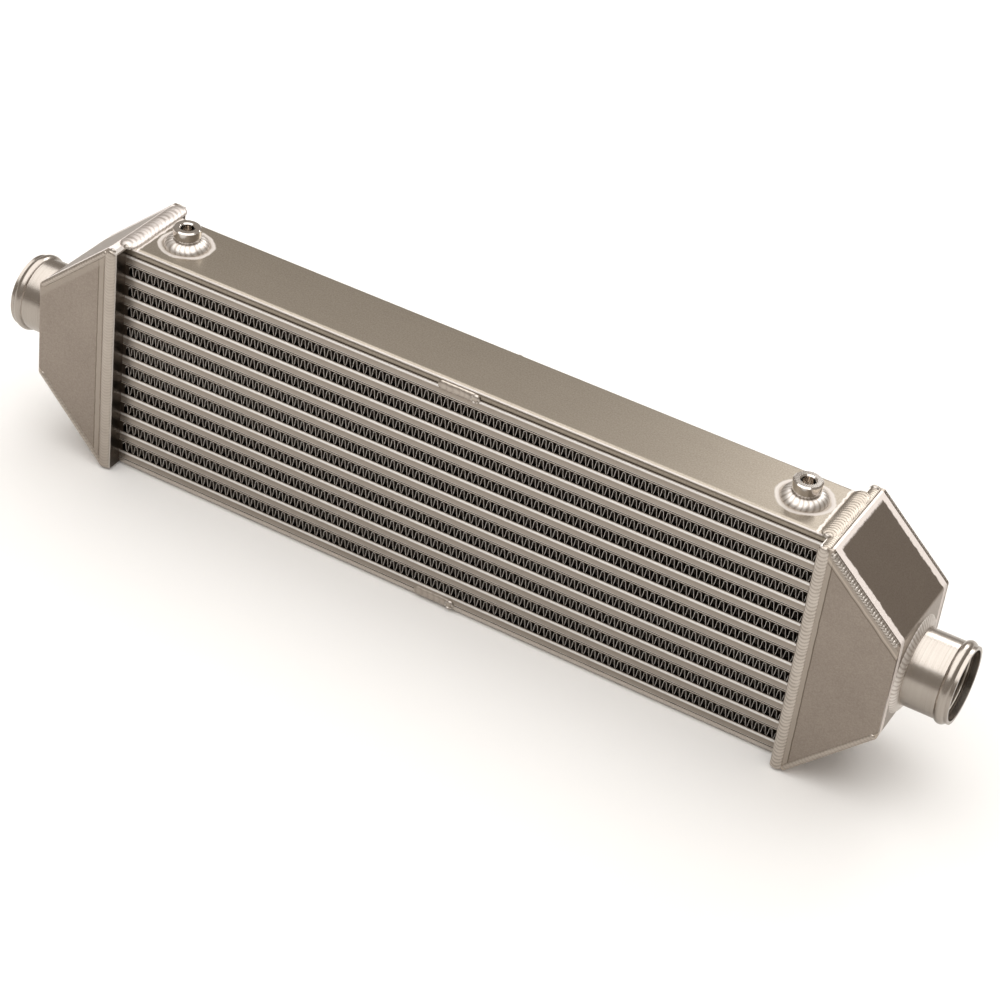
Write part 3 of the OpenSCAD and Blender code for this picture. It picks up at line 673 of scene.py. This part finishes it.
    # Less about their mean, so that ripples don't make a bead higher
    lift = addNode(tree, mathKind, {0: ridge, 1: 0.6}, operation="SUBTRACT")
    lift = addNode(tree, mathKind, {0: lift, 1: given["ripple"]}, operation="MULTIPLY")
    # Over 3 mm or so the ripples turn from faint to strong and back
    patchy = addNode(tree, noiseKind, {"Vector": noisePlace, "Scale": 0.3, "Detail": 1.0})
    patchy = addNode(tree, "ShaderNodeMapRange", {0: patchy, 1: 0.3, 2: 0.7, 3: 0.35, 4: 1.5})
    lift = addNode(tree, mathKind, {0: lift, 1: patchy}, operation="MULTIPLY")
    lump = addNode(tree, mathKind, {0: noise, 1: 0.5}, operation="SUBTRACT")
    lump = addNode(tree, mathKind, {0: lump, 1: given["waver"]}, operation="MULTIPLY")
    lift = addNode(tree, mathKind, {0: lift, 1: lump}, operation="ADD")
    lift = addNode(tree, mathKind, {0: lift, 1: low}, operation="MULTIPLY")
    # Both ends of an open bead round off over half its width
    closeness = addNode(tree, mathKind, {0: endNow, 1: halfWidth}, operation="DIVIDE")
    closeness = addNode(tree, mathKind, {0: closeness, 1: 1.0}, operation="MINIMUM")
    shortfall = addNode(tree, mathKind, {0: 1.0, 1: closeness}, operation="SUBTRACT")
    shortfall = addNode(tree, mathKind, {0: shortfall, 1: shortfall}, operation="MULTIPLY")
    roundOff = addNode(tree, mathKind, {0: 1.0, 1: shortfall}, operation="SUBTRACT")
    roundOff = addNode(tree, mathKind, {0: roundOff, 1: 0.002}, operation="MAXIMUM")
    roundOff = addNode(tree, mathKind, {0: roundOff}, operation="SQRT")
    loss = addNode(tree, mathKind, {0: 1.0, 1: roundOff}, operation="SUBTRACT")
    loss = addNode(tree, mathKind, {0: loss, 1: given["taper"]}, operation="MULTIPLY")
    keep = addNode(tree, mathKind, {0: 1.0, 1: loss}, operation="SUBTRACT")
    spotNow = addNode(tree, "GeometryNodeInputPosition")
    fromCentre = addNode(tree, vectorKind, {0: spotNow, 1: centreNow}, operation="SUBTRACT")
    kept = addNode(tree, vectorKind, {0: fromCentre, "Scale": keep}, operation="SCALE")
    lifted = addNode(tree, mathKind, {0: lift, 1: keep}, operation="MULTIPLY")
    raised = addNode(tree, vectorKind, {0: outward, "Scale": lifted}, operation="SCALE")
    moved = centreNow
    for part in (kept, raised):
        moved = addNode(tree, vectorKind, {0: moved, 1: part}, operation="ADD")
    shaped = addNode(tree, "GeometryNodeSetPosition", {"Geometry": bead, "Position": moved})
    shaped = addNode(tree, "GeometryNodeStoreNamedAttribute",
                     {"Geometry": shaped, "Name": "beadRipple", "Value": ridge},
                     data_type="FLOAT", domain="POINT")
    smooth = addNode(tree, "GeometryNodeSetShadeSmooth", {"Geometry": shaped})
    metres = addNode(tree, "GeometryNodeTransform", {"Geometry": smooth, "Scale": (toMetres,) * 3})
    real = addNode(tree, "GeometryNodeRealizeInstances", {"Geometry": metres})
    done = addNode(tree, "GeometryNodeSetMaterial", {"Geometry": real, "Material": given["metal"]})
    addNode(tree, "NodeGroupOutput", {"Mesh": done})
    return tree


# A path for a bead: points, and at each point the direction that the bead stands out in
def makePath(points, outwards, closed=False):
    mesh = bpy.data.meshes.new("beadPath")
    links = [(i, i + 1) for i in range(len(points) - 1)]
    if closed:
        links.append((len(points) - 1, 0))
    mesh.from_pydata([tuple(p) for p in points], links, [])
    attribute = mesh.attributes.new("outward", "FLOAT_VECTOR", "POINT")
    attribute.data.foreach_set("vector", [value for o in outwards for value in Vector(o).normalized()])
    return mesh


weldTree = makeWeldTree()
cornerBead = dict(width=4.9, root=0.8, pitch=2.9, waver=0.6, lag=0.35, step=0.3)
weldSizes = {
    "leftMouth": dict(width=9.8, height=1.3, pitch=2.6, ripple=0.022, waver=0.7, lag=0.8),
    "rightMouth": dict(width=9.0, height=1.7, pitch=3.0, ripple=0.24, waver=1.1, lag=0.8),
    "thickTop": dict(width=15.4, height=2.9, pitch=4.6, ripple=0.03, waver=1.3, lag=1.2, points=19),
    "wideTop": dict(width=14.4, height=1.9, pitch=3.0, ripple=0.8, waver=1.1, lag=2.2, points=17,
                    step=0.4),
    "flangeTop": dict(width=7.4, height=1.0, pitch=2.2, ripple=0.2, waver=0.6),
    "rightSeam": dict(cornerBead, height=2.3, pitch=2.6, ripple=0.65, waver=0.8),
    "leftSeam": dict(cornerBead, height=2.1, ripple=0.025),
    "lowSeam": dict(cornerBead, height=2.0, ripple=0.03),
    "stub": dict(width=9.8, height=1.0, root=1.2, pitch=3.2, ripple=0.05, waver=0.3),
    "boss": dict(width=10.8, height=1.4, root=1.5, pitch=3.6, ripple=0.09, waver=1.2),
    "tack": dict(width=7.6, height=1.5, pitch=5.0, ripple=0.1, waver=0.9),
    "crater": dict(width=1.9, height=0.8, root=1.3, pitch=3.0, ripple=0.1, waver=0.2, points=7),
    "blob": dict(width=8.0, height=3.0, pitch=2.2, ripple=0.3, waver=0.6),
}
beadSeeds = itertools.count(24, 13)


def layBead(kind, metal, points, outwards, closed=False):
    sizes = dict(weldSizes[kind], metal=metal, seed=next(beadSeeds), taper=0.0 if closed else 1.0)
    return growMesh("bead", weldTree, sizes, makePath(points, outwards, closed))


# Ring path round an axis: a weld in the corner of a round and a flat
def ringPath(centre, axis, side, radius, rise, lean, count=72):
    axis, side = Vector(axis), Vector(side)
    other = axis.cross(side)
    points, outwards = [], []
    for i in range(count):
        angle = 2 * math.pi * i / count
        radial = side * math.cos(angle) + other * math.sin(angle)
        points.append(Vector(centre) + radial * radius + axis * rise)
        outwards.append(radial * lean + axis * (1 - lean))
    return points, outwards


# Path round the mouth in YZ: down the front, under the tank and up the rear, with rounded corners
def mouthPath(x, halfDepth, low, high, corner=1.0, steps=4):
    points, outwards = [], []
    centres = [(-halfDepth + corner, high - corner, 90), (-halfDepth + corner, low + corner, 180),
               (halfDepth - corner, low + corner, 270), (halfDepth - corner, high - corner, 0)]
    for y, z, start in centres:
        for i in range(steps + 1):
            angle = math.radians(start + 90 * i / steps)
            out = Vector((0, math.cos(angle), math.sin(angle)))
            points.append(Vector((x, y, z)) + out * corner)
            outwards.append(out)
    return points, outwards


# Mirrors the vectors of the right side when a bead is laid on the left one
def mirror(vectors, sign):
    return [Vector((v[0] * sign, v[1], v[2])) for v in vectors]


# Toes of the corner beads: how far they reach over the folded panel and over the flat one
seamToes = {"overFold": 1.6, "overPanel": 4.3, "start": 0.6, "end": 0.1}
mouthShift = {"left": 5.7, "right": 3.0}
# Rings in the corners of the stub and the boss: how wide, how high, and how far they lean outwards
rings = {"stub": {"radius": tankShape["stubRadius"] + 4.0, "rise": 1.75, "lean": 0.3},
         "boss": {"radius": 13.2, "rise": 3.0, "lean": 0.42}}
seamMetals = {"left": "smooth", "right": "bright"}
mouthMetals = {"left": "smooth", "right": "dull"}
topMetals = {"thickTop": "remelted", "wideTop": "rippled", "flangeTop": "rippled", "blob": "bright"}
# Beads along the plate's edge: their place out from the core's end, and where they start and stop
topBeads = {
    "left": [("thickTop", 1.4, -32.5, 41.5), ("blob", -0.5, -33.5, -29.5), ("blob", 4.5, -43.4, -40.5)],
    "right": [("wideTop", 0.1, -32.0, 32.0), ("flangeTop", 4.2, -43.8, 43.8), ("blob", -0.5, -33.0, -29.0),
              ("blob", 3.5, 38.0, 42.0)],
}

for sideName, sign in (("left", -1), ("right", 1)):
    seamRuns = []
    overFold, overPanel = seamToes["overFold"], seamToes["overPanel"]
    for faceSign in (-1, 1):
        for kind, metal, normal, cornerHeight, endHeight in (
                (sideName + "Seam", seamMetals[sideName], upperNormal, coreTop, wallTop),
                ("lowSeam", "smooth", lowerNormal, mouthBottom, wallBottom)):
            start = Vector((landEnd, faceSign * tankFace, cornerHeight))
            end = Vector((tankEnd, faceSign * tankFace, endHeight))
            run = (end - start).normalized()
            face = Vector((0, faceSign, 0))
            out = (normal * overFold + face * overPanel).normalized()
            middle = face * (-overFold / 2) + normal * (-overPanel / 2)
            points = [start + run * seamToes["start"] + middle, end - run * seamToes["end"] + middle]
            seamRuns.append(layBead(kind, welds[metal], mirror(points, sign), mirror([out, out], sign)))
    placePiece(f"{sideName}SeamBeads", seamRuns, [f"{sideName}_seam_welds"])

    points, outwards = mouthPath(coreEnd + mouthShift[sideName], tankFace, mouthBottom, coreTop)
    coreRuns = [layBead(sideName + "Mouth", welds[mouthMetals[sideName]], mirror(points, sign),
                        mirror(outwards, sign))]
    for kind, shift, front, rear in topBeads[sideName]:
        points = [(coreEnd + shift, front, coreTop), (coreEnd + shift, rear, coreTop)]
        coreRuns.append(layBead(kind, welds[topMetals[kind]], mirror(points, sign), [upwards] * 2))
    placePiece(f"{sideName}MouthBeads", coreRuns, [f"{sideName}_core_weld"])

    for kind, metal, centre, axis, across in (
            ("stub", "brushed", (tankEnd, 0, stubHeight), (1, 0, 0), (0, 1, 0)),
            ("boss", "washed", bossPlace, upwards, (1, 0, 0))):
        points, outwards = ringPath(centre, axis, across, **rings[kind])
        ring = layBead(kind, welds[metal], mirror(points, sign), mirror(outwards, sign), True)
        placePiece(f"{sideName}{kind.title()}Bead", [ring], [f"{sideName}_{kind}_weld"])

# Tacks that hold the side plates to the outermost bars: each stops in a ring-shaped crater
tackSizes = {"sink": 0.4, "past": 0.3, "craterInset": 3.4, "craterRise": 0.8, "craterRadius": 2.9,
             "craterPoints": 28}
tackLow, tackHigh = boxOf("centre_tacks")
tackRuns = []
for faceSign in (-1, 1):
    for height in (topBarHigh.z + tackSizes["past"], barLow.z - tackSizes["past"]):
        y = faceSign * (coreFace - tackSizes["sink"])
        points = [Vector((tackLow.x, y, height)), Vector((tackHigh.x, y, height))]
        tackRuns.append(layBead("tack", welds["smooth"], points, [(0, faceSign, 0)] * 2))
        craterY = faceSign * (coreFace + tackSizes["craterRise"])
        centre = (tackHigh.x - tackSizes["craterInset"], craterY, height)
        points, outwards = ringPath(centre, (0, faceSign, 0), (1, 0, 0), tackSizes["craterRadius"],
                                    rise=0.0, lean=0.0, count=tackSizes["craterPoints"])
        tackRuns.append(layBead("crater", welds["bright"], points, outwards, True))
placePiece("centreTackBeads", tackRuns, ["centre_tacks"])
print("welds laid")


# Stage: a white table in a dim room, under a wide soft box, with a second one behind
stage = {
    "cameraPlace": (0.7118, -1.46275, 1.25586),
    "cameraTurn": (53.8912, -6.3399, 29.6619),  # degrees, from the photo's vanishing lines
    "lens": 99.674, "sensorWidth": 36,
    "tableHalf": 12, "tableDrop": 0.0005, "tableRough": 0.9,
    "roomColour": "#fff3e6", "roomStrength": 0.32,
    "tableSeen": "#f7f6f4", "tableMirrored": "#dcdad7", "tableGlow": 0.06,
    "overhead": {"place": (-0.3, -0.2, 2.2), "size": (3.6, 4.2), "power": 81},
    "behind": {"place": (0.335, 2.6, 1.95), "size": (1.67, 1.3), "power": 26.0},
}
floorMesh = bpy.data.meshes.new("studioFloor")
floorCorners = [(x * stage["tableHalf"], y * stage["tableHalf"], -stage["tableDrop"])
                for x, y in ((-1, -1), (1, -1), (1, 1), (-1, 1))]
floorMesh.from_pydata(floorCorners, [], [(0, 1, 2, 3)])
studioFloor = bpy.data.objects.new("studioFloor", floorMesh)
scene.collection.objects.link(studioFloor)

# Matt white card: it is a little darker where the metal mirrors it than where the camera sees it
floorMaterial, floorTree = startMaterial("whitePaper")
seen = addNode(floorTree, "ShaderNodeLightPath").outputs["Is Camera Ray"]
paperColour = addNode(floorTree, "ShaderNodeMix", {0: seen, 6: toLinear(stage["tableMirrored"]),
                                                   7: toLinear(stage["tableSeen"])},
                      data_type="RGBA").outputs[2]
glow = addNode(floorTree, mathKind, {0: seen, 1: stage["tableGlow"]}, operation="MULTIPLY")
paper = addNode(floorTree, "ShaderNodeBsdfPrincipled", {
    "Base Color": paperColour, "Roughness": stage["tableRough"],
    "Emission Color": (1, 1, 1, 1), "Emission Strength": glow})
addNode(floorTree, "ShaderNodeOutputMaterial", {"Surface": paper})
floorMesh.materials.append(floorMaterial)

world = bpy.data.worlds.new("studioAir")
world.use_nodes = True
scene.world = world
world.node_tree.nodes.clear()
air = addNode(world.node_tree, "ShaderNodeBackground",
              {"Color": toLinear(stage["roomColour"]), "Strength": stage["roomStrength"]})
addNode(world.node_tree, "ShaderNodeOutputWorld", {"Surface": air})


# A soft box: an area lamp that faces along a direction
def addSoftBox(name, box, facing):
    lamp = bpy.data.lights.new(name, "AREA")
    lamp.shape = "RECTANGLE"
    lamp.size, lamp.size_y = box["size"]
    lamp.energy = box["power"]
    lampObject = bpy.data.objects.new(name, lamp)
    scene.collection.objects.link(lampObject)
    lampObject.location = box["place"]
    lampObject.rotation_euler = Vector(facing).to_track_quat("-Z", "Y").to_euler()


addSoftBox("overheadBox", stage["overhead"], (0, 0, -1))
addSoftBox("behindBox", stage["behind"], (0, -1, 0))

camera = bpy.data.cameras.new("photoCamera")
camera.lens = stage["lens"]
camera.sensor_width = stage["sensorWidth"]
cameraObject = bpy.data.objects.new("photoCamera", camera)
cameraObject.location = stage["cameraPlace"]
cameraObject.rotation_euler = [math.radians(a) for a in stage["cameraTurn"]]
scene.collection.objects.link(cameraObject)
scene.camera = cameraObject
scene.view_settings.view_transform = "Standard"
print("stage set")
